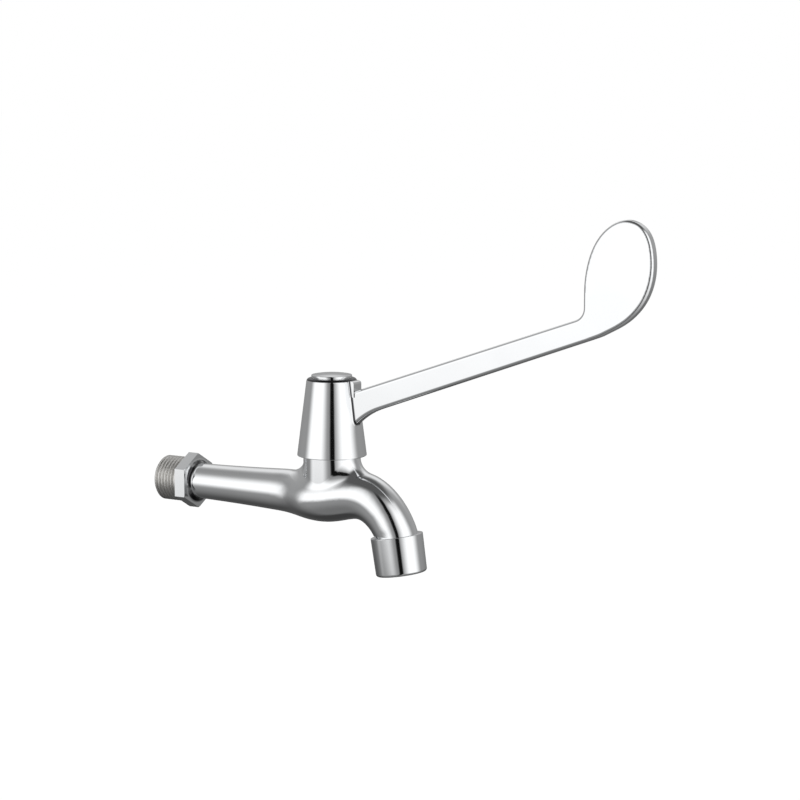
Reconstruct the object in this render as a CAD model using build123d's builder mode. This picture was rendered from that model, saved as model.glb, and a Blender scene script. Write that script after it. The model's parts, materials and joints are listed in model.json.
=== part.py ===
# A wall bib tap with a long elbow lever, for a G 1/2 pipe socket.
# The origin is on the inlet thread's axis, at the shoulder where the spanner hexagon meets the socket.
# +X runs out from the wall along the tap, +Z is up, and the spindle's axis stands at X = stem_x.
import os
from math import cos, hypot, pi, radians, sin, tan

from build123d import *

# Pipe thread G 1/2, cut on the inlet and on the headwork
pipe_thread_radius = 20.955 / 2
pipe_thread_pitch = 1.814
pipe_thread_depth = 1.162
pipe_thread_flank = 27.5  # degrees, half of the thread's angle
thread_root = 0.25
thread_clearance = 0.1

# Inlet: the thread with a spanner hexagon behind it
inlet_thread_length = 13.2
groove_start = 1.0  # from a thread's lead to the middle of its first groove
thread_lead = 0.9  # chamfer at a pipe thread's start
inlet_hex_flats = 22.5
inlet_hex_length = 5.6
inlet_hex_bevel = 0.5
inlet_bore_radius = 6.0

edge_round = 0.3  # on the chromed pieces' outer edges

# Casting: a tube that swells into the valve chamber and bends down into the spout
stem_x = 81.0
tube_radius = 8.2
tube_fillet = 2.2  # where the tube leaves the spanner hexagon
tube_middle = (-50.0, 8.8)  # place along X from the spindle's axis, and radius
nozzle_x = 34.4  # from the spindle's axis to the nozzle's rim
nozzle_z = -14.9
nozzle_lean = 8.9  # degrees forward of straight down
spout_radius = 9.6
# place along X from the spindle's axis, height, fall in degrees, half width and half height
casting_sections = [
    (-28.0, 0.0, 0.0, 9.7, 9.7),
    (-24.98, -0.05, 0.0, 9.9, 9.84),
    (-21.96, -0.2, 0.0, 10.25, 10.0),
    (-18.95, -0.43, -0.02, 10.87, 10.19),
    (-15.93, -0.68, -0.06, 11.82, 10.42),
    (-12.91, -0.87, -0.1, 12.92, 10.71),
    (-9.89, -0.94, -0.07, 13.84, 11.03),
    (-6.86, -0.87, 0.15, 14.44, 11.34),
    (-3.85, -0.69, 0.63, 14.7, 11.61),
    (-0.84, -0.42, 1.47, 14.68, 11.78),
    (2.16, -0.07, 2.77, 14.38, 11.84),
    (5.16, 0.34, 4.7, 13.86, 11.81),
    (8.18, 0.73, 7.42, 13.2, 11.71),
    (11.22, 1.01, 11.02, 12.5, 11.54),
    (14.26, 1.07, 15.44, 11.8, 11.29),
    (17.26, 0.78, 20.58, 11.15, 10.95),
    (20.14, 0.03, 26.25, 10.63, 10.6),
    (22.86, -1.2, 32.15, 10.29, 10.29),
    (25.38, -2.87, 38.06, 10.07, 10.07),
    (27.66, -4.87, 44.09, 9.92, 9.92),
    (29.71, -7.12, 50.76, 9.8, 9.79),
    (31.5, -9.57, 58.75, 9.74, 9.69),
    (33.04, -12.2, 68.43, 9.68, 9.68),
]
neck_radius = 13.0
neck_top = 20.5
neck_fillet = 9.0

# Waterway inside the casting, measured from the spindle's axis
seat_z = -1.5
seat_thickness = 2.5
seat_hole_radius = 4.6
chamber_radius = 9.2
lower_chamber_radius = 6.8
lower_chamber_floor = -9.0
port_start = -26.0
port_end = -10.5
port_half_width = 5.5
port_half_height = 2.0
port_z = -6.3
spout_bore_radius = 6.0
# place along X, height and fall in degrees
spout_bore_sections = [
    (4.0, 4.9, 2.0),
    (12.5, 3.4, 14.0),
    (20.0, 0.2, 26.0),
    (26.6, -4.4, 42.0),
    (31.8, -10.3, 57.0),
]

# Headwork: the brass cartridge that screws into the neck
headwork_thread_start = 10.6
barrel_radius = 8.0
barrel_wall = 1.15
barrel_lift = 0.3  # how far the barrel stays off the seat
window_width = 7.0
gasket_thickness = 0.8
gasket_inner_radius = 10.7
flange_radius = 12.3
flange_thickness = 2.0
headwork_hex_flats = 17.0
headwork_hex_length = 6.0
collar_radius = 7.0
collar_length = 4.0

# Turning stop: a tab on the spindle's ring that runs in a notch in the collar
quarter_turn = 90.0
stop_tab_angle = 26.0
stop_tab_gap = 2.0  # degrees left at each end of the travel
stop_tab_start = 135.0  # where the tab's middle stands with the tap closed
stop_notch_radius = 5.8
stop_notch_depth = 1.5

# Ceramic discs and the seal below them
seal_height = 3.0
disc_thickness = 2.5
disc_clearance = 0.1
disc_port_angle = 76.0
disc_port_inner = 1.8
disc_port_outer = 5.2
lug_width = 3.0

# Spindle
spindle_radius = 4.9
running_clearance = 0.05
wing_width = 3.6
wing_thickness = 2.2
tongue_length = 9.0
tongue_width = 2.2
tongue_depth = 1.0
key_flats = 8.8
thrust_washer_thickness = 0.7
o_ring_section = 0.65
o_ring_heights = (13.5, 17.5)
stop_ring_thickness = 1.0
stop_ring_radius = 6.8
stop_tab_lift = 0.15  # above the notch's floor
circlip_radius = 6.2
circlip_thickness = 0.8
circlip_groove_depth = 0.7
circlip_opening = 50.0  # degrees
spline_teeth = 20
spline_radius = 3.95
spline_depth = 0.4
spline_length = 9.1
spline_clearance = 0.06
screw_radius = 1.6
screw_length = 9.0  # below its head
screw_clearance = 0.05

# Handle: a tapered shell with the lever and its paddle cast on, measured from the spindle's axis
skirt_z = 18.5
skirt_radius = 15.8
handle_top = 53.8
handle_top_radius = 11.3
handle_wall = 1.6
handle_rim_fillet = 1.6
hub_radius = 6.4
hub_gap = 0.4  # between the spindle's shoulder and the hub
web_gap = 0.2  # between the spindle's end and the web
web_thickness = 3.0
recess_radius = 7.6
cap_radius = 9.2
cap_foot_radius = 8.3
cap_seat_depth = 0.6
cap_gap = 0.12
cap_lift = 0.7  # open gap between the handle's top and the cap's overhang
cap_edge_height = 0.7
cap_dome = 0.9
cap_spigot = 2.6
cap_wall = 0.9
washer_radius = 4.4
washer_thickness = 0.8
washer_split = 0.6
screw_head_radius = 3.6
screw_head_height = 2.0
screw_slot_width = 1.0
screw_slot_depth = 1.1

lever_thickness = 5.5
lever_edge = 1.5
lever_rise = 19.2  # degrees above level
lever_axis_z = 38.0  # where the lever's middle line meets the spindle's axis
lever_root_depth = 11.5
lever_end_depth = 10.0
lever_length = 133.0  # level distance from the spindle's axis to the paddle's foot
root_gusset_x = 27.0
root_gusset_foot = (12.7, 32.2)
root_fillet = 1.0  # where the lever runs into the skirt
boss_x = 13.8
boss_half_width = 3.2
boss_bottom = 46.0
boss_top = 53.2
boss_fillet = 1.4
paddle_fillet = 5.5
# round the paddle from front to back, as distances out and up from its foot on the lever's middle line
paddle_front = (-5.5, 13.7)
paddle_points = [
    (-4.2, 25.2),
    (-0.3, 35.1),
    (6.5, 42.2),
    (14.5, 44.7),
    (22.3, 40.8),
    (26.0, 31.2),
    (26.0, 21.6),
    (22.4, 11.2),
    (14.8, 2.65),
    (9.5, -0.75),
    (5.0, -3.05),
]
paddle_heel = 4.0  # how far before the foot the lever's lower edge starts to sweep up

# Nozzle: the aerator that screws onto the spout's end, measured down from its rim
aerator_thread_radius = 9.2
aerator_thread_pitch = 1.0
aerator_thread_depth = 0.55
aerator_thread_flank = 30.0
spigot_length = 7.0
spigot_relief = 1.2
nozzle_rim_radius = 11.8
nozzle_end_radius = 11.5
nozzle_length = 17.4
nozzle_edge = 1.2
nozzle_lip_radius = 8.2
nozzle_lip = 1.0
cartridge_radius = 8.6
cartridge_wall = 1.3
cartridge_flange = 1.0
cartridge_clearance = 0.1
aerator_washer_height = 1.2
aerator_washer_hole = 6.2
filter_thickness = 0.5
filter_pitch = 2.1
filter_hole = 0.7
insert_gap_share = 0.06  # of the room in the shell, from the filter to the diffuser's cone
diffuser_cone_share = 0.16
diffuser_share = 0.2
honeycomb_share = 0.4
diffuser_holes = 12
diffuser_hole = 0.6
diffuser_ring = 5.8
diffuser_cone = 4.6
honeycomb_pitch = 2.4
honeycomb_wall = 0.4
insert_clearance = 0.05

# Heights that follow from the sizes above
barrel_bottom = seat_z + barrel_lift
barrel_bore = barrel_radius - barrel_wall
disc_radius = barrel_bore - disc_clearance
fixed_disc_z = seat_z + seal_height
moving_disc_z = fixed_disc_z + disc_thickness
wing_z = moving_disc_z + disc_thickness
wing_top = wing_z + wing_thickness
barrel_ceiling = wing_top + thrust_washer_thickness + 2 * running_clearance
flange_z = neck_top + gasket_thickness
headwork_hex_z = flange_z + flange_thickness
collar_z = headwork_hex_z + headwork_hex_length
collar_top = collar_z + collar_length
stop_ring_z = collar_top + running_clearance
circlip_z = stop_ring_z + stop_ring_thickness + running_clearance
spindle_shoulder = circlip_z + circlip_thickness + 1.0
spindle_top = spindle_shoulder + spline_length
hub_z = spindle_shoulder + hub_gap
web_z = spindle_top + web_gap
recess_z = web_z + web_thickness
screw_head_z = recess_z + washer_thickness
cap_seat_z = handle_top - cap_seat_depth
flange_seat = spigot_length + aerator_washer_height
cartridge_end = nozzle_length - nozzle_lip - cartridge_clearance
cartridge_bore = cartridge_radius - cartridge_wall
filter_radius = cartridge_radius - cartridge_wall / 2
insert_start = flange_seat + filter_thickness
insert_room = cartridge_end - insert_start
cone_height = diffuser_cone_share * insert_room
diffuser_start = insert_start + insert_gap_share * insert_room + cone_height
honeycomb_thickness = honeycomb_share * insert_room
taper = (skirt_radius - handle_top_radius) / (handle_top - skirt_z)

pipe_form = (pipe_thread_pitch, pipe_thread_depth, pipe_thread_flank)
aerator_form = (aerator_thread_pitch, aerator_thread_depth, aerator_thread_flank)
headwork_groove = headwork_thread_start + thread_lead + groove_start

# Each of these planes has its X along a radius and its Y along the axis that a piece is turned about
inlet_section = Plane(origin=(0, 0, 0), x_dir=(0, 0, 1), z_dir=(0, 1, 0))
stem_section = Plane(origin=(stem_x, 0, 0), x_dir=(1, 0, 0), z_dir=(0, -1, 0))
nozzle_section = Plane(
    origin=(stem_x + nozzle_x, 0, nozzle_z),
    x_dir=(cos(radians(nozzle_lean)), 0, sin(radians(nozzle_lean))),
    z_dir=(0, 1, 0),
)


def stem_plane(height):
    """A level plane on the spindle's axis."""
    return Plane(origin=(stem_x, 0, height), x_dir=(1, 0, 0), z_dir=(0, 0, 1))


def nozzle_plane(depth):
    """A plane square to the nozzle's axis, facing the way the water leaves."""
    middle = nozzle_section.from_local_coords(Vector(0, depth, 0))
    return Plane(origin=middle, x_dir=nozzle_section.x_dir, z_dir=nozzle_section.y_dir)


def spout_plane(along, height, fall):
    """A plane across the casting, tilted by the fall of the water's path."""
    way = radians(fall)
    return Plane(origin=(stem_x + along, 0, height), x_dir=(0, 1, 0), z_dir=(cos(way), 0, -sin(way)))


def turn(section, points, mode=Mode.ADD):
    """Turns an outline of radius and distance about the section's axis."""
    with BuildSketch(section) as outline:
        with BuildLine():
            Polyline(*points, close=True)
        make_face()
    revolve(outline.sketch, axis=Axis(section.origin, section.y_dir), mode=mode)


def thread(section, form, radius, start, end, first, lead=0, mode=Mode.ADD):
    """A threaded core from start to end, its first groove at first, as rings of the thread's form."""
    pitch, depth, flank = form
    reach = depth * tan(radians(flank)) + thread_root / 2
    points = [(0, start), (radius - lead, start)]
    if lead:
        points.append((radius, start + lead))
    middle = first
    while middle + reach < end:
        points.append((radius, middle - reach))
        points.append((radius - depth, middle - thread_root / 2))
        points.append((radius - depth, middle + thread_root / 2))
        points.append((radius, middle + reach))
        middle += pitch
    points.append((radius, end))
    points.append((0, end))
    turn(section, points, mode)


def sector(inner_radius, outer_radius, middle, sweep, mode=Mode.ADD):
    """A part of a ring in the active sketch, about the angle of its middle."""
    with BuildLine() as edge:
        outer = CenterArc((0, 0), outer_radius, middle - sweep / 2, sweep)
        inner = CenterArc((0, 0), inner_radius, middle - sweep / 2, sweep)
        Line(outer @ 0, inner @ 0)
        Line(outer @ 1, inner @ 1)
    make_face(edge.edges(), mode=mode)


def disc_ports(turned):
    """Cuts the two opposite ports of a ceramic disc or its seal, in the active sketch."""
    for side in (0, 180):
        sector(disc_port_inner, disc_port_outer, turned + side, disc_port_angle, Mode.SUBTRACT)


def packed_points(pitch, reach):
    """Points of a close-packed pattern round the middle, out to a reach."""
    rows = int(reach / pitch) + 1
    points = []
    for row in range(-rows, rows + 1):
        for place in range(-rows - 1, rows + 2):
            x = (place + (row % 2) / 2) * pitch
            y = row * pitch * sin(pi / 3)
            if x * x + y * y <= reach * reach:
                points.append((x, y))
    return points


def spline_outline(clearance=0.0):
    """The star of the spindle's spline, or of the handle's socket with its clearance."""
    points = []
    for tooth in range(2 * spline_teeth):
        radius = spline_radius + clearance - (tooth % 2) * spline_depth
        angle = pi * tooth / spline_teeth
        points.append((radius * cos(angle), radius * sin(angle)))
    with BuildLine() as outline:
        Polyline(*points, close=True)
    make_face(outline.edges())


def handle_radius(height):
    """The handle's outer radius at a height."""
    return skirt_radius - (height - skirt_z) * taper


def runs_over_skirt(edge):
    """True for an edge that crosses the skirt's cone, and false for the cone's own rims and seam."""
    middle = edge.position_at(0.5)
    out = hypot(middle.X - stem_x, middle.Y) - handle_radius(middle.Z)
    return abs(out) < 0.01 and edge.geom_type not in (GeomType.LINE, GeomType.CIRCLE)


def lever_edge_z(along, side):
    """The height of the lever's upper edge for side 1, or its lower edge for side -1."""
    depth = lever_root_depth + (lever_end_depth - lever_root_depth) * along / lever_length
    middle = lever_axis_z + along * tan(radians(lever_rise))
    return middle + side * depth / 2 / cos(radians(lever_rise))


os.makedirs("parts", exist_ok=True)

# Tap body: one chromed brass casting with its inlet thread, seat, waterways, neck and spout
with BuildPart() as tap_body:
    with BuildSketch(Plane(origin=(0, 0, 0), x_dir=(0, 0, 1), z_dir=(1, 0, 0))):
        RegularPolygon(inlet_hex_flats / 2, 6, major_radius=False)
    extrude(amount=inlet_hex_length)
    hex_corner = inlet_hex_flats / 2 / cos(pi / 6)
    bevel_outline = [
        (hex_corner - inlet_hex_bevel, inlet_hex_length),
        (hex_corner + inlet_hex_bevel, inlet_hex_length),
        (hex_corner + inlet_hex_bevel, inlet_hex_length - 2 * inlet_hex_bevel * tan(pi / 6)),
    ]
    turn(inlet_section, bevel_outline, Mode.SUBTRACT)
    first_groove = thread_lead + groove_start - inlet_thread_length
    thread(inlet_section, pipe_form, pipe_thread_radius, -inlet_thread_length, 0, first_groove, thread_lead)
    tube_end, tube_end_radius = casting_sections[0][0], casting_sections[0][3]
    with BuildSketch(inlet_section):
        with BuildLine():
            Spline(
                (tube_radius, inlet_hex_length),
                (tube_middle[1], stem_x + tube_middle[0]),
                (tube_end_radius, stem_x + tube_end),
            )
            Polyline(
                (tube_end_radius, stem_x + tube_end),
                (0, stem_x + tube_end),
                (0, inlet_hex_length),
                (tube_radius, inlet_hex_length),
            )
        make_face()
    revolve(axis=Axis.X)
    hex_front = tap_body.edges().filter_by(lambda edge: abs(edge.center().X - inlet_hex_length) < 0.01)
    fillet(hex_front.sort_by(SortBy.LENGTH)[-1], tube_fillet)
    casting_slices = []
    for along, height, fall, half_width, half_height in casting_sections:
        with BuildSketch(spout_plane(along, height, fall), mode=Mode.PRIVATE) as casting_slice:
            Ellipse(half_width, half_height)
        casting_slices.append(casting_slice.sketch)
    with BuildSketch(spout_plane(nozzle_x, nozzle_z, 90 - nozzle_lean), mode=Mode.PRIVATE) as spout_mouth:
        Circle(spout_radius)
    casting_slices.append(spout_mouth.sketch)
    loft(casting_slices)
    with BuildSketch(stem_plane(0)):
        Circle(neck_radius)
    extrude(amount=neck_top)
    neck_joint = tap_body.edges(Select.NEW).filter_by(lambda edge: edge.center().Z < neck_top - 1)
    fillet(neck_joint, neck_fillet)
    thread(nozzle_section, aerator_form, aerator_thread_radius, 0, spigot_length, spigot_relief)
    # The inlet's bore runs to a port that passes under the seat into the lower chamber
    with BuildSketch(Plane.YZ.offset(-inlet_thread_length)):
        Circle(inlet_bore_radius)
    extrude(amount=inlet_thread_length + stem_x + port_start, mode=Mode.SUBTRACT)
    with BuildSketch(spout_plane(port_start, 0, 0)):
        Circle(inlet_bore_radius)
    with BuildSketch(spout_plane(port_end, port_z, 0)):
        Ellipse(port_half_width, port_half_height)
    loft(mode=Mode.SUBTRACT)
    with BuildSketch(spout_plane(port_end, port_z, 0)):
        Ellipse(port_half_width, port_half_height)
    extrude(amount=-port_end - lower_chamber_radius / 2, mode=Mode.SUBTRACT)
    with BuildSketch(stem_plane(lower_chamber_floor)):
        Circle(lower_chamber_radius)
    extrude(amount=seat_z - seat_thickness - lower_chamber_floor, mode=Mode.SUBTRACT)
    with BuildSketch(stem_plane(seat_z - seat_thickness)):
        Circle(seat_hole_radius)
    extrude(amount=seat_thickness, mode=Mode.SUBTRACT)
    # The upper chamber opens through the neck's thread
    with BuildSketch(stem_plane(seat_z)):
        Circle(chamber_radius)
    extrude(amount=headwork_thread_start - seat_z, mode=Mode.SUBTRACT)
    neck_bore = pipe_thread_radius + thread_clearance
    thread(
        stem_section,
        pipe_form,
        neck_bore,
        headwork_thread_start,
        neck_top,
        headwork_groove,
        thread_lead,
        Mode.SUBTRACT,
    )
    # The spout's bore leaves the upper chamber and follows the casting down
    bore_slices = []
    for along, height, fall in spout_bore_sections:
        with BuildSketch(spout_plane(along, height, fall), mode=Mode.PRIVATE) as bore_slice:
            Circle(spout_bore_radius)
        bore_slices.append(bore_slice.sketch)
    with BuildSketch(nozzle_plane(0), mode=Mode.PRIVATE) as bore_mouth:
        Circle(spout_bore_radius)
    bore_slices.append(bore_mouth.sketch)
    loft(bore_slices, mode=Mode.SUBTRACT)
    extrude(bore_mouth.sketch, amount=spigot_length, mode=Mode.SUBTRACT)
tap_body.part.label = "tap_body"
export_step(tap_body.part, "parts/tap_body.step")

# Headwork housing: turned brass, with the barrel round the discs, the thread, flange, hexagon and collar
with BuildPart() as headwork_housing:
    barrel = [(0, barrel_bottom), (barrel_radius, barrel_bottom), (barrel_radius, flange_z), (0, flange_z)]
    turn(stem_section, barrel)
    thread_start = headwork_thread_start + thread_clearance
    thread(stem_section, pipe_form, pipe_thread_radius, thread_start, flange_z, headwork_groove, thread_lead)
    with BuildSketch(stem_plane(flange_z)):
        Circle(flange_radius)
    extrude(amount=flange_thickness)
    with BuildSketch(stem_plane(headwork_hex_z)):
        RegularPolygon(headwork_hex_flats / 2, 6, major_radius=False)
    extrude(amount=headwork_hex_length)
    with BuildSketch(stem_plane(collar_z)):
        Circle(collar_radius)
    extrude(amount=collar_length)
    with BuildSketch(stem_plane(barrel_bottom)):
        Circle(barrel_bore)
    extrude(amount=barrel_ceiling - barrel_bottom, mode=Mode.SUBTRACT)
    with BuildSketch(stem_plane(barrel_ceiling)):
        Circle(spindle_radius + running_clearance)
    extrude(amount=collar_top - barrel_ceiling, mode=Mode.SUBTRACT)
    # Windows in the barrel let the water out, and slots at its foot hold the fixed disc's lugs
    with BuildSketch(stem_plane(moving_disc_z)):
        Rectangle(4 * barrel_radius, window_width)
    extrude(amount=wing_top - moving_disc_z, mode=Mode.SUBTRACT)
    with BuildSketch(stem_plane(barrel_bottom)):
        Rectangle(lug_width + 2 * disc_clearance, 4 * barrel_radius)
    extrude(amount=moving_disc_z - barrel_bottom, mode=Mode.SUBTRACT)
    with BuildSketch(stem_plane(collar_top - stop_notch_depth)):
        notch_sweep = quarter_turn + stop_tab_angle + 2 * stop_tab_gap
        sector(stop_notch_radius, 2 * collar_radius, stop_tab_start + quarter_turn / 2, notch_sweep)
    extrude(amount=stop_notch_depth, mode=Mode.SUBTRACT)
headwork_housing.part.label = "headwork_housing"
export_step(headwork_housing.part, "parts/headwork_housing.step")

# Headwork gasket: a fibre ring between the neck and the flange
with BuildPart() as headwork_gasket:
    with BuildSketch(stem_plane(neck_top)):
        Circle(flange_radius)
        Circle(gasket_inner_radius, mode=Mode.SUBTRACT)
    extrude(amount=gasket_thickness)
headwork_gasket.part.label = "headwork_gasket"
export_step(headwork_gasket.part, "parts/headwork_gasket.step")

# Seat seal: rubber, with the fixed disc's two ports
with BuildPart() as seat_seal:
    with BuildSketch(stem_plane(seat_z)):
        Circle(disc_radius)
        disc_ports(0)
    extrude(amount=seal_height)
seat_seal.part.label = "seat_seal"
export_step(seat_seal.part, "parts/seat_seal.step")

# Fixed ceramic disc, held by two lugs in the barrel's slots
with BuildPart() as fixed_disc:
    with BuildSketch(stem_plane(fixed_disc_z)):
        Circle(disc_radius)
        Rectangle(lug_width, 2 * barrel_radius)
        disc_ports(0)
    extrude(amount=disc_thickness)
fixed_disc.part.label = "fixed_disc"
export_step(fixed_disc.part, "parts/fixed_disc.step")

# Moving ceramic disc, with its ports across the fixed ones and a groove for the spindle's tongue
with BuildPart() as moving_disc:
    with BuildSketch(stem_plane(moving_disc_z)):
        Circle(disc_radius)
        disc_ports(90)
    extrude(amount=disc_thickness)
    with BuildSketch(stem_plane(wing_z - tongue_depth - running_clearance)):
        Rectangle(tongue_length + 2 * running_clearance, tongue_width + 2 * running_clearance)
    extrude(amount=tongue_depth + running_clearance, mode=Mode.SUBTRACT)
moving_disc.part.label = "moving_disc"
export_step(moving_disc.part, "parts/moving_disc.step")

# Spindle: the wing and tongue that turn the disc, two seal grooves, key flats, circlip groove and spline
with BuildPart() as spindle:
    with BuildSketch(stem_plane(wing_z)):
        Circle(disc_radius)
        Rectangle(2 * disc_radius, wing_width, mode=Mode.INTERSECT)
    extrude(amount=wing_thickness)
    with BuildSketch(stem_plane(wing_z - tongue_depth)):
        Rectangle(tongue_length, tongue_width)
    extrude(amount=tongue_depth)
    with BuildSketch(stem_plane(wing_top)):
        Circle(spindle_radius)
    extrude(amount=spindle_shoulder - wing_top)
    with BuildSketch(stem_plane(stop_ring_z)):
        Circle(spindle_radius)
        Rectangle(2 * spindle_radius, key_flats, mode=Mode.SUBTRACT)
    extrude(amount=spindle_shoulder - stop_ring_z, mode=Mode.SUBTRACT)
    with BuildSketch(stem_plane(circlip_z)):
        Circle(2 * spindle_radius)
        Circle(spindle_radius - circlip_groove_depth, mode=Mode.SUBTRACT)
    extrude(amount=circlip_thickness + 2 * running_clearance, mode=Mode.SUBTRACT)
    o_ring_groove = spindle_radius - 2 * o_ring_section
    for height in o_ring_heights:
        with BuildSketch(stem_plane(height)):
            Circle(2 * spindle_radius)
            Circle(o_ring_groove, mode=Mode.SUBTRACT)
        extrude(amount=o_ring_section + running_clearance, both=True, mode=Mode.SUBTRACT)
    with BuildSketch(stem_plane(spindle_shoulder)):
        spline_outline()
    extrude(amount=spline_length)
    with BuildSketch(stem_plane(screw_head_z - screw_length - screw_radius)):
        Circle(screw_radius + screw_clearance)
    extrude(amount=spindle_top - screw_head_z + screw_length + screw_radius, mode=Mode.SUBTRACT)
spindle.part.label = "spindle"
export_step(spindle.part, "parts/spindle.step")

# Spindle seals: two rubber rings in the spindle's grooves
with BuildPart() as spindle_o_rings:
    with BuildSketch(stem_section):
        for height in o_ring_heights:
            with Locations((spindle_radius - o_ring_section + running_clearance / 2, height)):
                Circle(o_ring_section)
    revolve(axis=Axis(stem_section.origin, stem_section.y_dir))
spindle_o_rings.part.label = "spindle_o_rings"
export_step(spindle_o_rings.part, "parts/spindle_o_rings.step")

# Thrust washer: a slippery ring between the wing and the barrel's ceiling
with BuildPart() as thrust_washer:
    with BuildSketch(stem_plane(wing_top + running_clearance)):
        Circle(disc_radius)
        Circle(spindle_radius + running_clearance, mode=Mode.SUBTRACT)
    extrude(amount=thrust_washer_thickness)
thrust_washer.part.label = "thrust_washer"
export_step(thrust_washer.part, "parts/thrust_washer.step")

# Stop ring: keyed to the spindle's flats, with a tab that runs in the collar's notch
with BuildPart() as stop_ring:
    with BuildSketch(stem_plane(stop_ring_z)):
        Circle(stop_ring_radius)
    extrude(amount=stop_ring_thickness)
    with BuildSketch(stem_plane(stop_ring_z)):
        sector(stop_notch_radius + disc_clearance, stop_ring_radius, stop_tab_start, stop_tab_angle)
    extrude(amount=stop_tab_lift - stop_notch_depth - running_clearance)
    with BuildSketch(stem_plane(stop_ring_z)):
        Circle(spindle_radius + running_clearance)
        Rectangle(4 * spindle_radius, key_flats + 2 * running_clearance, mode=Mode.INTERSECT)
    extrude(amount=stop_ring_thickness, mode=Mode.SUBTRACT)
stop_ring.part.label = "stop_ring"
export_step(stop_ring.part, "parts/stop_ring.step")

# Circlip: a spring ring that keeps the spindle in the housing
with BuildPart() as spindle_circlip:
    with BuildSketch(stem_plane(circlip_z + running_clearance)):
        circlip_inner = spindle_radius - circlip_groove_depth + running_clearance
        sector(circlip_inner, circlip_radius, 0, 360 - circlip_opening)
    extrude(amount=circlip_thickness)
spindle_circlip.part.label = "spindle_circlip"
export_step(spindle_circlip.part, "parts/spindle_circlip.step")

# Lever blank: a flat bar that rises from the handle and ends in an upright teardrop paddle
with BuildPart() as lever_blank:
    lever_way = (cos(radians(lever_rise)), sin(radians(lever_rise)))
    with BuildSketch(stem_section):
        with BuildLine():
            root_x = root_gusset_foot[0] - handle_wall
            top_root = (root_x, lever_edge_z(root_x, 1))
            foot_z = lever_axis_z + lever_length * tan(radians(lever_rise))
            paddle_round = [(lever_length + out, foot_z + up) for out, up in paddle_points]
            paddle_start = (lever_length + paddle_front[0], foot_z + paddle_front[1])
            paddle_corner = (paddle_start[0], lever_edge_z(paddle_start[0], 1))
            heel_x = lever_length - paddle_heel
            heel = (heel_x, lever_edge_z(heel_x, -1))
            gusset_start = (root_gusset_x, lever_edge_z(root_gusset_x, -1))
            FilletPolyline(top_root, paddle_corner, paddle_start, radius=paddle_fillet)
            Spline(paddle_start, *paddle_round, heel, tangents=[(0, 1), (-lever_way[0], -lever_way[1])])
            Line(heel, gusset_start)
            TangentArc(gusset_start, root_gusset_foot, tangent=(-lever_way[0], -lever_way[1]))
            Line(root_gusset_foot, (root_x, root_gusset_foot[1]))
            Line((root_x, root_gusset_foot[1]), top_root)
        make_face()
    extrude(amount=lever_thickness / 2, both=True)
    rims = lever_blank.faces().filter_by(Axis.Y).edges()
    fillet(rims.filter_by(lambda edge: edge.center().X > stem_x + root_gusset_foot[0]), lever_edge)

# Lever handle: one zinc casting, a tapered shell with a splined hub inside and the lever on its front
with BuildPart() as lever_handle:
    skirt = [(0, skirt_z), (skirt_radius, skirt_z), (handle_top_radius, handle_top), (0, handle_top)]
    turn(stem_section, skirt)
    fillet(lever_handle.edges().group_by(Axis.Z)[-1], handle_rim_fillet)
    fillet(lever_handle.edges().group_by(Axis.Z)[0], edge_round)
    add(lever_blank.part)
    fillet(lever_handle.edges().filter_by(runs_over_skirt), root_fillet)
    with BuildSketch(stem_section) as boss_outline:
        with Locations((0, boss_bottom)):
            Rectangle(boss_x, boss_top - boss_bottom, align=(Align.MIN, Align.MIN))
        fillet(boss_outline.vertices().group_by(Axis.Y)[-1].sort_by(Axis.X)[-1:], boss_fillet)
    extrude(amount=boss_half_width, both=True)
    cavity = [
        (0, skirt_z - 1),
        (handle_radius(skirt_z - 1) - handle_wall, skirt_z - 1),
        (handle_radius(web_z) - handle_wall, web_z),
        (hub_radius, web_z),
        (hub_radius, hub_z),
        (0, hub_z),
    ]
    turn(stem_section, cavity, Mode.SUBTRACT)
    with BuildSketch(stem_plane(hub_z)):
        spline_outline(spline_clearance)
    extrude(amount=web_z - hub_z, mode=Mode.SUBTRACT)
    with BuildSketch(stem_plane(web_z)):
        Circle(screw_radius + screw_clearance)
    extrude(amount=web_thickness, mode=Mode.SUBTRACT)
    with BuildSketch(stem_plane(recess_z)):
        Circle(recess_radius)
    extrude(amount=handle_top - recess_z, mode=Mode.SUBTRACT)
    with BuildSketch(stem_plane(cap_seat_z)):
        Circle(cap_foot_radius + cap_gap)
    extrude(amount=cap_seat_depth, mode=Mode.SUBTRACT)
lever_handle.part.label = "lever_handle"
export_step(lever_handle.part, "parts/lever_handle.step")

# Index cap: a domed button pressed into the handle's top, over the screw
with BuildPart() as index_cap:
    cap_lip_z = handle_top + cap_lift
    cap_rim_z = cap_lip_z + cap_edge_height
    with BuildSketch(stem_section) as cap_outline:
        with BuildLine():
            cap_crown = (0, cap_rim_z + cap_dome)
            cap_rim = (cap_radius, cap_rim_z)
            Polyline(
                cap_crown,
                (0, cap_seat_z),
                (cap_foot_radius, cap_seat_z),
                (cap_foot_radius, cap_lip_z),
                (cap_radius, cap_lip_z),
                cap_rim,
            )
            TangentArc(cap_crown, cap_rim, tangent=(1, 0))
        make_face()
        fillet(cap_outline.vertices().group_by(Axis.X)[-1].sort_by(Axis.Y)[-1:], edge_round)
    revolve(axis=Axis(stem_section.origin, stem_section.y_dir))
    with BuildSketch(stem_plane(cap_seat_z)):
        Circle(recess_radius - cap_gap)
        Circle(recess_radius - cap_gap - cap_wall, mode=Mode.SUBTRACT)
    extrude(amount=-cap_spigot)
index_cap.part.label = "index_cap"
export_step(index_cap.part, "parts/index_cap.step")

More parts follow.
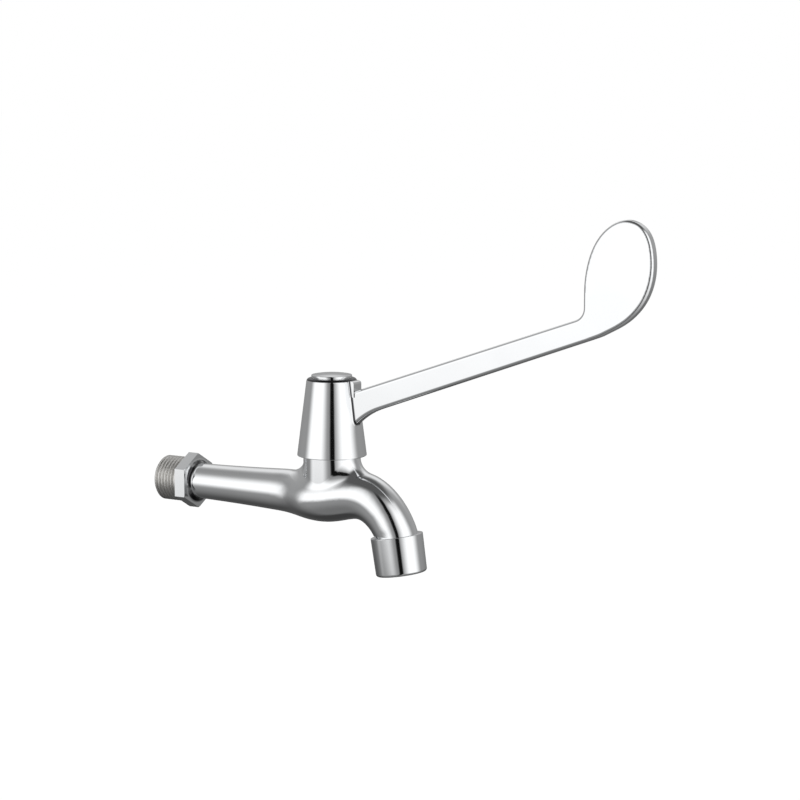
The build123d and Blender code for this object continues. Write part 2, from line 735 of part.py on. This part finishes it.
# Handle screw: clamps the handle's web to the spindle
with BuildPart() as handle_screw:
    with BuildSketch(stem_plane(screw_head_z)):
        Circle(screw_head_radius)
    extrude(amount=screw_head_height)
    with BuildSketch(stem_plane(screw_head_z + screw_head_height - screw_slot_depth)):
        Rectangle(4 * screw_head_radius, screw_slot_width)
    extrude(amount=screw_slot_depth, mode=Mode.SUBTRACT)
    with BuildSketch(stem_plane(screw_head_z)):
        Circle(screw_radius)
    extrude(amount=-screw_length)
handle_screw.part.label = "handle_screw"
export_step(handle_screw.part, "parts/handle_screw.step")

# Lock washer: a split ring under the screw's head
with BuildPart() as screw_lock_washer:
    with BuildSketch(stem_plane(recess_z)):
        Circle(washer_radius)
        Circle(screw_radius + screw_clearance, mode=Mode.SUBTRACT)
        Rectangle(2 * washer_radius, washer_split, align=(Align.MIN, Align.CENTER), mode=Mode.SUBTRACT)
    extrude(amount=washer_thickness)
screw_lock_washer.part.label = "screw_lock_washer"
export_step(screw_lock_washer.part, "parts/screw_lock_washer.step")

# Nozzle housing: the tapered collar that holds the aerator on the spout
with BuildPart() as nozzle_housing:
    housing = [(0, 0), (nozzle_rim_radius, 0), (nozzle_end_radius, nozzle_length), (0, nozzle_length)]
    turn(nozzle_section, housing)
    fillet(nozzle_housing.edges().group_by(Axis.Z)[0], nozzle_edge)
    fillet(nozzle_housing.edges().group_by(Axis.Z)[-1], edge_round)
    housing_bore = aerator_thread_radius + cartridge_clearance
    thread(nozzle_section, aerator_form, housing_bore, 0, spigot_length, spigot_relief, 0, Mode.SUBTRACT)
    bore_steps = [
        (spigot_length, housing_bore),
        (flange_seat + cartridge_flange, cartridge_radius + cartridge_clearance),
        (nozzle_length - nozzle_lip, nozzle_lip_radius),
    ]
    for depth, radius in bore_steps:
        with BuildSketch(nozzle_plane(depth)):
            Circle(radius)
        extrude(amount=nozzle_length - depth, mode=Mode.SUBTRACT)
nozzle_housing.part.label = "nozzle_housing"
export_step(nozzle_housing.part, "parts/nozzle_housing.step")

# Aerator washer: rubber, between the spout's end and the aerator's flange
with BuildPart() as aerator_washer:
    with BuildSketch(nozzle_plane(spigot_length)):
        Circle(aerator_thread_radius)
        Circle(aerator_washer_hole, mode=Mode.SUBTRACT)
    extrude(amount=aerator_washer_height)
aerator_washer.part.label = "aerator_washer"
export_step(aerator_washer.part, "parts/aerator_washer.step")

# Aerator shell: the moulded sleeve with its flange and a step for the filter
with BuildPart() as aerator_shell:
    with BuildSketch(nozzle_plane(flange_seat)):
        Circle(aerator_thread_radius)
    extrude(amount=cartridge_flange)
    with BuildSketch(nozzle_plane(flange_seat)):
        Circle(cartridge_radius)
    extrude(amount=cartridge_end - flange_seat)
    with BuildSketch(nozzle_plane(flange_seat)):
        Circle(cartridge_bore)
    extrude(amount=cartridge_end - flange_seat, mode=Mode.SUBTRACT)
    with BuildSketch(nozzle_plane(flange_seat)):
        Circle(filter_radius + insert_clearance)
    extrude(amount=filter_thickness, mode=Mode.SUBTRACT)
aerator_shell.part.label = "aerator_shell"
export_step(aerator_shell.part, "parts/aerator_shell.step")

# Aerator filter: a perforated steel disc on the shell's step
with BuildPart() as aerator_filter:
    with BuildSketch(nozzle_plane(flange_seat)):
        Circle(filter_radius)
        with Locations(*packed_points(filter_pitch, cartridge_bore - 2 * filter_hole)):
            Circle(filter_hole, mode=Mode.SUBTRACT)
    extrude(amount=filter_thickness)
aerator_filter.part.label = "aerator_filter"
export_step(aerator_filter.part, "parts/aerator_filter.step")

# Aerator diffuser: a plastic plate with a ring of jet holes and a cone that spreads the water to them
with BuildPart() as aerator_diffuser:
    with BuildSketch(nozzle_plane(diffuser_start)):
        Circle(cartridge_bore - insert_clearance)
        with PolarLocations(diffuser_ring, diffuser_holes):
            Circle(diffuser_hole, mode=Mode.SUBTRACT)
    extrude(amount=diffuser_share * insert_room)
    cone = [(0, diffuser_start), (diffuser_cone, diffuser_start), (0, diffuser_start - cone_height)]
    turn(nozzle_section, cone)
aerator_diffuser.part.label = "aerator_diffuser"
export_step(aerator_diffuser.part, "parts/aerator_diffuser.step")

# Flow straightener: a plastic honeycomb at the nozzle's mouth
with BuildPart() as flow_straightener:
    with BuildSketch(nozzle_plane(cartridge_end - honeycomb_thickness)):
        Circle(cartridge_bore - insert_clearance)
        honeycomb_reach = cartridge_bore - honeycomb_pitch / 2 - honeycomb_wall
        with Locations(*packed_points(honeycomb_pitch, honeycomb_reach)):
            RegularPolygon((honeycomb_pitch - honeycomb_wall) / 2, 6, False, 30, mode=Mode.SUBTRACT)
    extrude(amount=honeycomb_thickness)
flow_straightener.part.label = "flow_straightener"
export_step(flow_straightener.part, "parts/flow_straightener.step")
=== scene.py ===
# A chromed wall bib tap with an elbow lever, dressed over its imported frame.
# The frame's axes hold throughout: +X out from the wall, +Z up along the spindle, lengths in metres.
import json
from math import degrees, radians

import bpy
from bpy.props import FloatProperty, FloatVectorProperty, PointerProperty
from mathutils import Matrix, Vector

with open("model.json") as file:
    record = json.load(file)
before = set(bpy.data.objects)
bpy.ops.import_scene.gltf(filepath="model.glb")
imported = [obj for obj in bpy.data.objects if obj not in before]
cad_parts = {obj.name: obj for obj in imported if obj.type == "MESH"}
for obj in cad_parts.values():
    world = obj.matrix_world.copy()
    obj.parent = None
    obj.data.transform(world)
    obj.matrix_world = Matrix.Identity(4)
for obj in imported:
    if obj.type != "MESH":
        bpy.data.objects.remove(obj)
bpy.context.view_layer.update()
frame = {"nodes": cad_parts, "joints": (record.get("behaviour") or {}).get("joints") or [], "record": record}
slot_colour = {
    entry["slot"]: tuple(entry["base_color"]) for entry in frame["record"]["materials"]
}
spindle_x = frame["joints"][0]["pos_m"][0]

bl_info = {
    "name": "Wall Bib Tap",
    "version": (1, 0, 0),
    "blender": (4, 5, 0),
    "location": "View3D > Sidebar > Bib Tap",
    "description": "Dresses a wall bib tap with an elbow lever and sets up its studio",
    "category": "Mesh",
}

# Camera: the photograph's place and angle
camera_place = (0.62895, -0.83019, 0.17947)
camera_turn = (radians(90 - 7.781), 0, radians(31.652))
camera_lens = 100.0
camera_sensor = 36.0
camera_near = 0.01
camera_bearing = -58.35  # degrees from +X, from the tap towards the camera

# Floor and lamp
floor_size = 60.0
floor_middle = 0.08
floor_colour = (0.95, 0.95, 0.95, 1)
floor_glow = 0.75  # how much of the seen floor shines by itself, to fade into the backdrop
floor_lift = 1.08  # how much brighter than the backdrop that part is
lamp_place = (-0.3, -0.9, 1.5)
lamp_size = 1.2
lamp_energy = 6.0

# In all that follows an edge is a pair of places: where a mark is 0 and where it is 1.

# The chrome's patterns, in lumps a metre, and how deep its ripples are in metres
wave_scale = 110.0
haze_scale = 45.0
rub_scale = 900.0
drop_scale = 260.0
wet_scale = 60.0
ripple_depth = 0.000012
haze_edge = (0.35, 0.75)
drop_ring = 0.2  # radius of a dried drop's ring, as a share of the drops' spacing
ring_edge = (0.03, 0.0)
wet_edge = (0.62, 0.7)
chrome_rough = 0.035

# The casting's bare metal: its thread ends at the hexagon, and its bore is bare up to the chamber
thread_edge = (0.0001, -0.0002)
bore_wall = (0.0064, 0.0061)
bore_end = (0.060, 0.055)
thread_dull = (0.64, 0.63, 0.61, 1)
thread_bright = (0.84, 0.83, 0.81, 1)

# Painted shade: dark lines painted into the corners and creases
shade_line_colour = (0.06, 0.06, 0.064, 1.0)
shade_line_rough = 0.1
hexagon_front = 0.0056
tube_line = ((0.0, 0.0002), (0.0021, 0.0015))  # from the hexagon's front
skirt_foot = (0.0158, 0.0185)  # radius and height
skirt_top = (0.0113, 0.0538)
root_line = ((0.0001, 0.0004), (0.0014, 0.0008))  # from the skirt's cone
root_side = (0.0042, 0.0038)
root_depth = 0.004
rim_line = ((0.0084, 0.0088), (0.0116, 0.0113))  # from the spindle's axis
rim_height = ((0.0526, 0.0530), (0.0545, 0.0541))

# What the chrome reflects. Bearings are degrees from the camera's, heights are degrees above the
# horizon. A band is its centre, the half width to which it is full and the half width where it ends.
left_panel = (-57, 17, 46)
left_foot = (-22, -1)
left_drop = (9, 6)  # how much lower the left panel's foot is at its far side
left_drop_edge = (-14, -42)
right_panel = (54, 12, 48)
right_foot = (-34, -4)
panel_head = (54, 16)
panel_rise = (22, 18)  # how much higher the panels' heads are near the camera
panel_rise_edge = (-60, -15)
gap_centre = 2
gap_left = (-4, -12)
gap_right = (6, 12)
gap_level = 0.02
back = (180, 40, 110)
room_level = 0.3
back_lift = 0.08
back_level = 0.09
below_edge = (8, -26)
glow = (180, 20, 60)
glow_height = ((14, 32), (58, 40))
glow_level = 0.85
ceiling_edge = (46, 66)
ceiling_level = 0.1
ground_edge = (-20, -62)
ground_level = 0.18
ground_back_level = 0.05


class Value:
    """A node's output that adds its own Math nodes, so that shader maths reads as arithmetic."""

    def __init__(self, nodes, socket):
        self.nodes = nodes
        self.socket = socket

    def __add__(self, other):
        return self.nodes.maths("ADD", self, other)

    def __radd__(self, other):
        return self.nodes.maths("ADD", other, self)

    def __sub__(self, other):
        return self.nodes.maths("SUBTRACT", self, other)

    def __rsub__(self, other):
        return self.nodes.maths("SUBTRACT", other, self)

    def __mul__(self, other):
        return self.nodes.maths("MULTIPLY", self, other)

    def __rmul__(self, other):
        return self.nodes.maths("MULTIPLY", other, self)

    def __abs__(self):
        return self.nodes.maths("ABSOLUTE", self)


class Nodes:
    """The node tree of one material or world, filled node by node."""

    def __init__(self, owner):
        owner.use_nodes = True
        self.owner = owner
        self.tree = owner.node_tree
        self.tree.nodes.clear()

    def add(self, kind, settings=None, sockets=None, output=0):
        """Adds one node, with its settings first and then its sockets' values or links."""
        node = self.tree.nodes.new("ShaderNode" + kind)
        for name, setting in (settings or {}).items():
            setattr(node, name, setting)
        for name, value in (sockets or {}).items():
            if isinstance(value, Value):
                self.tree.links.new(value.socket, node.inputs[name])
            else:
                node.inputs[name].default_value = value
        if not node.outputs:
            return None
        return Value(self, node.outputs[output])

    def maths(self, operation, *values):
        return self.add("Math", {"operation": operation}, dict(enumerate(values)))

    def step(self, value, low, high):
        """0 below low and 1 above high, with a soft rise between; low may be above high."""
        sockets = {"Value": value, "From Min": low, "From Max": high}
        return self.add("MapRange", {"interpolation_type": "SMOOTHSTEP"}, sockets)

    def within(self, value, start, end):
        """1 between two edges and 0 beyond them."""
        return self.step(value, *start) * self.step(value, *end)

    def blend(self, factor, first, second):
        """Mixes two colours."""
        return self.add("Mix", {"data_type": "RGBA"}, {0: factor, 6: first, 7: second}, 2)

    def between(self, factor, first, second):
        """Mixes two numbers."""
        return self.add("Mix", sockets={0: factor, 2: first, 3: second})

    def place(self):
        """The surface's place in the frame."""
        return self.add("TexCoord", output="Object")

    def lengths(self, vector):
        """A vector's three lengths."""
        return [self.add("SeparateXYZ", sockets={0: vector}, output=axis) for axis in range(3)]

    def noise(self, here, scale, detail=2.0, stretch=(1, 1, 1)):
        """Soft noise with so many lumps a metre, drawn out along the axes whose stretch is small."""
        spread = self.add("VectorMath", {"operation": "MULTIPLY"}, {0: here, 1: stretch})
        sockets = {"Vector": spread, "Scale": scale, "Detail": detail}
        return self.add("TexNoise", sockets=sockets)

    def bump(self, height, depth):
        """A normal from a height of 0 to 1 that stands for so many metres."""
        return self.add("Bump", sockets={"Height": height, "Distance": depth})

    def seen(self):
        """1 for what the camera sees straight on."""
        return self.add("LightPath", output="Is Camera Ray")

    def mirrored(self):
        """1 for what shows in metal or through something clear."""
        ways = [self.add("LightPath", output=f"Is {way} Ray") for way in ("Glossy", "Transmission")]
        return self.maths("MAXIMUM", *ways)

    def surface(self, **sockets):
        """The principled shader at the end of a material."""
        named = {name.replace("_", " "): value for name, value in sockets.items()}
        shader = self.add("BsdfPrincipled", sockets=named)
        self.add("OutputMaterial", sockets={"Surface": shader})


def opaque(colour, shade=1.0):
    """A colour with its alpha, made lighter or darker."""
    return (*(min(1.0, channel * shade) for channel in colour[:3]), 1.0)


def new_material(name):
    return Nodes(bpy.data.materials.new(name))


def finish(nodes, *names):
    """Puts a material on CAD nodes that stay as they are."""
    for name in names:
        for slot in frame["nodes"][name].material_slots:
            slot.material = nodes.owner


def chrome(nodes, colour, marks_and_shade=None):
    """Bright plating over a polished casting: slow ripples, a breath of haze, a few dried drops."""
    here = nodes.place()
    waves = nodes.noise(here, wave_scale, detail=1.0)
    haze = nodes.step(nodes.noise(here, haze_scale, detail=4.0), *haze_edge)
    rubbed = nodes.noise(here, rub_scale, detail=3.0, stretch=(1.0, 1.0, 0.12))
    cells = {"Vector": here, "Scale": drop_scale, "Randomness": 1.0}
    drops = nodes.add("TexVoronoi", {"feature": "F1"}, cells)
    wet = nodes.step(nodes.noise(here, wet_scale), *wet_edge)
    rings = nodes.step(abs(drops - drop_ring), *ring_edge) * wet
    tint = nodes.blend(haze * 0.5, opaque(colour), opaque(colour, shade=0.95))
    rough = chrome_rough + haze * 0.03 + rubbed * 0.02 + rings * 0.035
    height = waves + rubbed * 0.018
    if marks_and_shade:
        tint, rough, height = marks_and_shade(nodes, here, tint, rough, height)
    normal = nodes.bump(height, ripple_depth)
    nodes.surface(Base_Color=tint, Metallic=1.0, Roughness=rough, Normal=normal)


def casting_wear_and_shade(nodes, here, tint, rough, height):
    """Bare metal on the inlet's thread and in the bore, and painted shade: a dark line painted where the
    tube begins.
    """
    x, y, z = nodes.lengths(here)
    brass = opaque(slot_colour["turned_brass"], shade=0.85)
    across = nodes.maths("SQRT", y * y + z * z)
    thread = nodes.step(x, *thread_edge)
    inside = nodes.step(across, *bore_wall) * nodes.step(x, *bore_end)
    painted_shade = nodes.within(x - hexagon_front, *tube_line)
    grain = nodes.noise(here, 700.0, detail=4.0)
    stain = nodes.noise(here, 160.0, detail=3.0)
    dull = nodes.blend(stain, thread_dull, thread_bright)
    bare = nodes.blend(stain, brass, opaque(brass, shade=0.55))
    # Painted shade: a dark line painted round the tube's root, broken up by noise
    tint = nodes.blend(painted_shade * nodes.step(stain, 0.2, 0.5), tint, shade_line_colour)
    tint = nodes.blend(thread, tint, dull)
    tint = nodes.blend(inside, tint, bare)
    rough = nodes.between(thread, rough, 0.3 + grain * 0.2)
    rough = nodes.between(inside, rough, 0.4 + grain * 0.25)
    return tint, rough + painted_shade * shade_line_rough, height + grain * (thread + inside) * 0.8


def handle_painted_shade(nodes, here, tint, rough, height):
    """Painted shade: dark lines painted round the rim under the cap and where the lever runs into the skirt.
    """
    x, y, z = nodes.lengths(here)
    forward = x - spindle_x
    from_axis = nodes.maths("SQRT", forward * forward + y * y)
    slope = (skirt_top[0] - skirt_foot[0]) / (skirt_top[1] - skirt_foot[1])
    cone = skirt_foot[0] + (z - skirt_foot[1]) * slope
    beside = nodes.step(abs(y), *root_side) * nodes.step(forward, 0, root_depth)
    root = nodes.within(from_axis - cone, *root_line) * beside
    rim = nodes.within(z, *rim_height) * nodes.within(from_axis, *rim_line)
    painted_shade = nodes.maths("MAXIMUM", root, rim)
    # Painted shade: the rim's shadow gap and the lever root's corner are painted dark
    tint = nodes.blend(painted_shade, tint, shade_line_colour)
    return tint, rough + painted_shade * shade_line_rough, height


def tap_sizes():
    return bpy.context.scene.bib_tap_sizes


def tap_colours():
    return bpy.context.scene.bib_tap_colours


def studio_look():
    return bpy.context.scene.bib_tap_studio


class BibTapSizes(bpy.types.PropertyGroup):
    floor_drop: FloatProperty(
        name="Floor Drop",
        description="How far the floor lies below the tap's inlet",
        default=0.16,
        unit="LENGTH",
    )


class BibTapColours(bpy.types.PropertyGroup):
    chrome: FloatVectorProperty(
        name="Chrome",
        description="Colour of the bright plating",
        default=slot_colour["polished_chrome"],
        subtype="COLOR",
    )
    brass: FloatVectorProperty(
        name="Brass",
        description="Colour of the headwork and spindle",
        default=slot_colour["turned_brass"],
        subtype="COLOR",
    )
    gasket: FloatVectorProperty(
        name="Gasket",
        description="Colour of the fibre gasket",
        default=slot_colour["fibre_gasket"],
        subtype="COLOR",
    )
    rubber: FloatVectorProperty(
        name="Rubber",
        description="Colour of the seals",
        default=slot_colour["black_rubber"],
        subtype="COLOR",
    )
    ceramic: FloatVectorProperty(
        name="Ceramic",
        description="Colour of the two discs",
        default=slot_colour["white_ceramic"],
        subtype="COLOR",
    )
    bearing: FloatVectorProperty(
        name="Bearing Plastic",
        description="Colour of the thrust washer",
        default=slot_colour["bearing_plastic"],
        subtype="COLOR",
    )
    steel: FloatVectorProperty(
        name="Steel",
        description="Colour of the screw, rings and filter",
        default=slot_colour["stainless_steel"],
        subtype="COLOR",
    )
    plastic: FloatVectorProperty(
        name="Moulded Plastic",
        description="Colour of the aerator's sleeve, diffuser and honeycomb",
        default=slot_colour["moulded_plastic"],
        subtype="COLOR",
    )


class BibTapStudio(bpy.types.PropertyGroup):
    backdrop: FloatProperty(
        name="Backdrop",
        description="Brightness of the white background",
        default=1.0,
        min=0.0,
    )
    ambience: FloatProperty(
        name="Ambience",
        description="Brightness of the soft light all round",
        default=0.8,
        min=0.0,
    )
    panel: FloatProperty(
        name="Panels",
        description="Brightness of the two white panels that the chrome reflects",
        default=0.9,
        min=0.0,
    )


class BIBTAP_OT_casting(bpy.types.Operator):
    """Finish the tap's casting with its plating, dull thread and bare bore"""

    bl_idname = "bibtap.casting"
    bl_label = "Casting"

    def execute(self, context):
        nodes = new_material("chromed_casting")
        chrome(nodes, tap_colours().chrome, casting_wear_and_shade)
        finish(nodes, "tap_body")
        return {"FINISHED"}


class BIBTAP_OT_handle(bpy.types.Operator):
    """Finish the lever handle and its round cap"""

    bl_idname = "bibtap.handle"
    bl_label = "Handle and Cap"

    def execute(self, context):
        nodes = new_material("chromed_handle")
        chrome(nodes, tap_colours().chrome, handle_painted_shade)
        finish(nodes, "lever_handle", "index_cap")
        return {"FINISHED"}


class BIBTAP_OT_nozzle(bpy.types.Operator):
    """Finish the nozzle and the aerator inside it"""

    bl_idname = "bibtap.nozzle"
    bl_label = "Nozzle and Aerator"

    def execute(self, context):
        nodes = new_material("chromed_nozzle")
        chrome(nodes, tap_colours().chrome)
        finish(nodes, "nozzle_housing")

        plastic = tap_colours().plastic
        nodes = new_material("satin_plastic")
        here = nodes.place()
        mottle = nodes.noise(here, 300.0, detail=3.0)
        tint = nodes.blend(mottle, opaque(plastic, shade=0.94), opaque(plastic, shade=1.03))
        rough = 0.38 + mottle * 0.12
        normal = nodes.bump(nodes.noise(here, 3000.0), depth=0.00002)
        nodes.surface(Base_Color=tint, Roughness=rough, Normal=normal)
        finish(nodes, "aerator_shell", "aerator_diffuser", "flow_straightener")
        return {"FINISHED"}


class BIBTAP_OT_headwork(bpy.types.Operator):
    """Finish the brass headwork and spindle with their turning marks"""

    bl_idname = "bibtap.headwork"
    bl_label = "Headwork and Spindle"

    def execute(self, context):
        brass = tap_colours().brass
        nodes = new_material("turned_brass")
        here = nodes.place()
        marks = nodes.noise(here, 2500.0, stretch=(0.05, 0.05, 1.0))
        tarnish = nodes.step(nodes.noise(here, 120.0, detail=4.0), 0.4, 0.75)
        tint = nodes.blend(tarnish * 0.6, opaque(brass), opaque(brass, shade=0.72))
        rough = 0.2 + marks * 0.12 + tarnish * 0.15
        normal = nodes.bump(marks, depth=0.00003)
        nodes.surface(Base_Color=tint, Metallic=1.0, Roughness=rough, Normal=normal)
        finish(nodes, "headwork_housing", "spindle")
        return {"FINISHED"}


class BIBTAP_OT_discs(bpy.types.Operator):
    """Finish the ceramic discs and the plastic thrust washer"""

    bl_idname = "bibtap.discs"
    bl_label = "Discs and Thrust Washer"

    def execute(self, context):
        ceramic = tap_colours().ceramic
        nodes = new_material("lapped_ceramic")
        speckle = nodes.noise(nodes.place(), 1800.0, detail=3.0)
        tint = nodes.blend(speckle, opaque(ceramic, shade=0.93), opaque(ceramic, shade=1.02))
        rough = 0.14 + speckle * 0.12
        normal = nodes.bump(speckle, depth=0.000004)
        nodes.surface(Base_Color=tint, Roughness=rough, Normal=normal)
        finish(nodes, "fixed_disc", "moving_disc")

        bearing = tap_colours().bearing
        nodes = new_material("slippery_plastic")
        mottle = nodes.noise(nodes.place(), 500.0, detail=3.0)
        tint = nodes.blend(mottle, opaque(bearing, shade=0.92), opaque(bearing))
        rough = 0.3 + mottle * 0.15
        normal = nodes.bump(mottle, depth=0.00001)
        nodes.surface(Base_Color=tint, Roughness=rough, Normal=normal)
        finish(nodes, "thrust_washer")
        return {"FINISHED"}


class BIBTAP_OT_seals(bpy.types.Operator):
    """Finish the rubber seals and the fibre gasket"""

    bl_idname = "bibtap.seals"
    bl_label = "Seals and Gasket"

    def execute(self, context):
        rubber = tap_colours().rubber
        nodes = new_material("matt_rubber")
        here = nodes.place()
        bloom = nodes.step(nodes.noise(here, 220.0, detail=4.0), 0.45, 0.8)
        tint = nodes.blend(bloom * 0.5, opaque(rubber), opaque(rubber, shade=2.2))
        rough = 0.58 + bloom * 0.2
        normal = nodes.bump(nodes.noise(here, 2600.0), depth=0.00003)
        nodes.surface(Base_Color=tint, Roughness=rough, Normal=normal)
        finish(nodes, "seat_seal", "spindle_o_rings", "aerator_washer")

        gasket = tap_colours().gasket
        nodes = new_material("pressed_fibre")
        here = nodes.place()
        lengthwise = nodes.noise(here, 1500.0, detail=5.0, stretch=(1.0, 0.25, 1.0))
        crosswise = nodes.noise(here, 1500.0, detail=5.0, stretch=(0.25, 1.0, 1.0))
        fibres = lengthwise * crosswise
        tint = nodes.blend(fibres * 2, opaque(gasket, shade=0.6), opaque(gasket, shade=1.35))
        normal = nodes.bump(fibres, depth=0.00006)
        nodes.surface(Base_Color=tint, Roughness=0.85, Normal=normal)
        finish(nodes, "headwork_gasket")
        return {"FINISHED"}


class BIBTAP_OT_fittings(bpy.types.Operator):
    """Finish the steel screw, washer, rings and filter"""

    bl_idname = "bibtap.fittings"
    bl_label = "Screw, Rings and Filter"

    def execute(self, context):
        steel = tap_colours().steel
        nodes = new_material("bright_steel")
        here = nodes.place()
        brushed = nodes.noise(here, 1600.0, detail=3.0, stretch=(1.0, 0.06, 0.06))
        cloud = nodes.noise(here, 200.0, detail=3.0)
        tint = nodes.blend(cloud, opaque(steel, shade=0.88), opaque(steel, shade=1.04))
        rough = 0.22 + brushed * 0.14 + cloud * 0.06
        normal = nodes.bump(brushed, depth=0.00001)
        nodes.surface(Base_Color=tint, Metallic=1.0, Roughness=rough, Normal=normal)
        finish(nodes, "handle_screw", "screw_lock_washer", "stop_ring", "spindle_circlip")
        finish(nodes, "aerator_filter")
        return {"FINISHED"}


def surround(nodes, look, direction):
    """What the chrome reflects: a white panel on each side of the camera, a dark gap between."""
    x, y, z = nodes.lengths(direction)
    bearing = nodes.maths("ARCTAN2", y, x) * degrees(1) - camera_bearing
    height = nodes.maths("ARCSINE", z) * degrees(1)

    def off(centre):
        return nodes.maths("WRAP", bearing - centre, 180, -180)

    def band(centre, full, end):
        return nodes.step(abs(off(centre)), end, full)

    # The two panels and the gap between them
    drop = nodes.step(off(left_panel[0]), *left_drop_edge)
    foot = [edge - lower * drop for edge, lower in zip(left_foot, left_drop)]
    left = band(*left_panel) * nodes.step(height, *foot)
    right = band(*right_panel) * nodes.step(height, *right_foot)
    rise = nodes.step(off(0), *panel_rise_edge)
    head = [edge + higher * rise for edge, higher in zip(panel_head, panel_rise)]
    tall = nodes.step(height, *head)
    past_gap = nodes.step(off(gap_centre), *gap_right) + nodes.step(off(gap_centre), *gap_left)

    # The grey room behind them, and a soft glow high up in it, opposite the camera
    behind = band(*back)
    below = nodes.step(height, *below_edge)
    above_level = room_level + back_lift * behind
    room = nodes.between(below, above_level, nodes.between(behind, room_level, back_level))
    side = room + look.panel * (left + right) * tall
    side = side * (gap_level + (1 - gap_level) * past_gap)
    shine = band(*glow) * nodes.within(height, *glow_height)
    side = nodes.between(shine, side, glow_level)

    # Its ceiling and its ground
    upper = nodes.between(nodes.step(height, *ceiling_edge), side, ceiling_level)
    ground = nodes.between(behind, ground_level, ground_back_level)
    return nodes.between(nodes.step(height, *ground_edge), upper, ground)


class BIBTAP_OT_studio(bpy.types.Operator):
    """Set up the floor, the light and the camera"""

    bl_idname = "bibtap.studio"
    bl_label = "Studio"

    def execute(self, context):
        look = studio_look()
        world = bpy.data.worlds.new("studio")
        context.scene.world = world
        nodes = Nodes(world)
        direction = nodes.add("TexCoord", output="Generated")
        reflected = surround(nodes, look, direction)
        light = nodes.between(nodes.mirrored(), look.ambience, reflected)
        light = nodes.between(nodes.seen(), light, look.backdrop)
        background = nodes.add("Background", sockets={"Color": (1, 1, 1, 1), "Strength": light})
        nodes.add("OutputWorld", sockets={"Surface": background})

        bpy.ops.object.select_all(action="DESELECT")
        place = (floor_middle, 0, -tap_sizes().floor_drop)
        bpy.ops.mesh.primitive_plane_add(size=floor_size, location=place)
        floor = context.object
        floor.name = "floor"
        nodes = new_material("studio_floor")
        here = nodes.add("NewGeometry", output="Position")
        middle = (spindle_x, 0, 0)
        from_tap = nodes.add("VectorMath", {"operation": "SUBTRACT"}, {0: here, 1: middle})
        direction = nodes.add("VectorMath", {"operation": "NORMALIZE"}, {0: from_tap})
        pale = nodes.add("BsdfDiffuse", sockets={"Color": floor_colour})
        white = nodes.add("Emission", sockets={"Strength": look.backdrop * floor_lift})
        lit = nodes.add("MixShader", sockets={0: nodes.seen() * floor_glow, 1: pale, 2: white})
        table = nodes.add("Emission", sockets={"Strength": surround(nodes, look, direction)})
        lit = nodes.add("MixShader", sockets={0: nodes.mirrored(), 1: lit, 2: table})
        clear = nodes.add("BsdfTransparent")
        underside = nodes.add("NewGeometry", output="Backfacing")
        shown = nodes.add("MixShader", sockets={0: underside, 1: lit, 2: clear})
        nodes.add("OutputMaterial", sockets={"Surface": shown})
        floor.data.materials.append(nodes.owner)

        bpy.ops.object.light_add(type="AREA", location=lamp_place)
        lamp = context.object
        lamp.name = "soft_lamp"
        lamp.data.shape = "DISK"
        lamp.data.size = lamp_size
        lamp.data.energy = lamp_energy
        lamp.visible_glossy = False
        towards_tap = Vector(middle) - lamp.location
        lamp.rotation_euler = towards_tap.to_track_quat("-Z", "Y").to_euler()

        bpy.ops.object.camera_add(location=camera_place, rotation=camera_turn)
        camera = context.object
        camera.name = "camera"
        camera.data.lens = camera_lens
        camera.data.sensor_width = camera_sensor
        camera.data.clip_start = camera_near
        context.scene.camera = camera
        context.scene.view_settings.view_transform = "Standard"
        return {"FINISHED"}


piece_operators = (
    BIBTAP_OT_casting,
    BIBTAP_OT_handle,
    BIBTAP_OT_nozzle,
    BIBTAP_OT_headwork,
    BIBTAP_OT_discs,
    BIBTAP_OT_seals,
    BIBTAP_OT_fittings,
    BIBTAP_OT_studio,
)


class BIBTAP_PT_sidebar(bpy.types.Panel):
    bl_label = "Wall Bib Tap"
    bl_idname = "BIBTAP_PT_sidebar"
    bl_space_type = "VIEW_3D"
    bl_region_type = "UI"
    bl_category = "Bib Tap"

    def draw(self, context):
        for group in (tap_sizes(), tap_colours(), studio_look()):
            column = self.layout.column(align=True)
            for name in group.bl_rna.properties.keys():
                if name not in ("rna_type", "name"):
                    column.prop(group, name)
        column = self.layout.column(align=True)
        for operator in piece_operators:
            column.operator(operator.bl_idname)


classes = (BibTapSizes, BibTapColours, BibTapStudio, *piece_operators, BIBTAP_PT_sidebar)


def register():
    for each in classes:
        bpy.utils.register_class(each)
    bpy.types.Scene.bib_tap_sizes = PointerProperty(type=BibTapSizes)
    bpy.types.Scene.bib_tap_colours = PointerProperty(type=BibTapColours)
    bpy.types.Scene.bib_tap_studio = PointerProperty(type=BibTapStudio)


def unregister():
    del bpy.types.Scene.bib_tap_studio
    del bpy.types.Scene.bib_tap_colours
    del bpy.types.Scene.bib_tap_sizes
    for each in reversed(classes):
        bpy.utils.unregister_class(each)


def main():
    register()
    bpy.ops.bibtap.casting()
    bpy.ops.bibtap.handle()
    bpy.ops.bibtap.nozzle()
    bpy.ops.bibtap.headwork()
    bpy.ops.bibtap.discs()
    bpy.ops.bibtap.seals()
    bpy.ops.bibtap.fittings()
    bpy.ops.bibtap.studio()


if __name__ == "__main__":
    main()
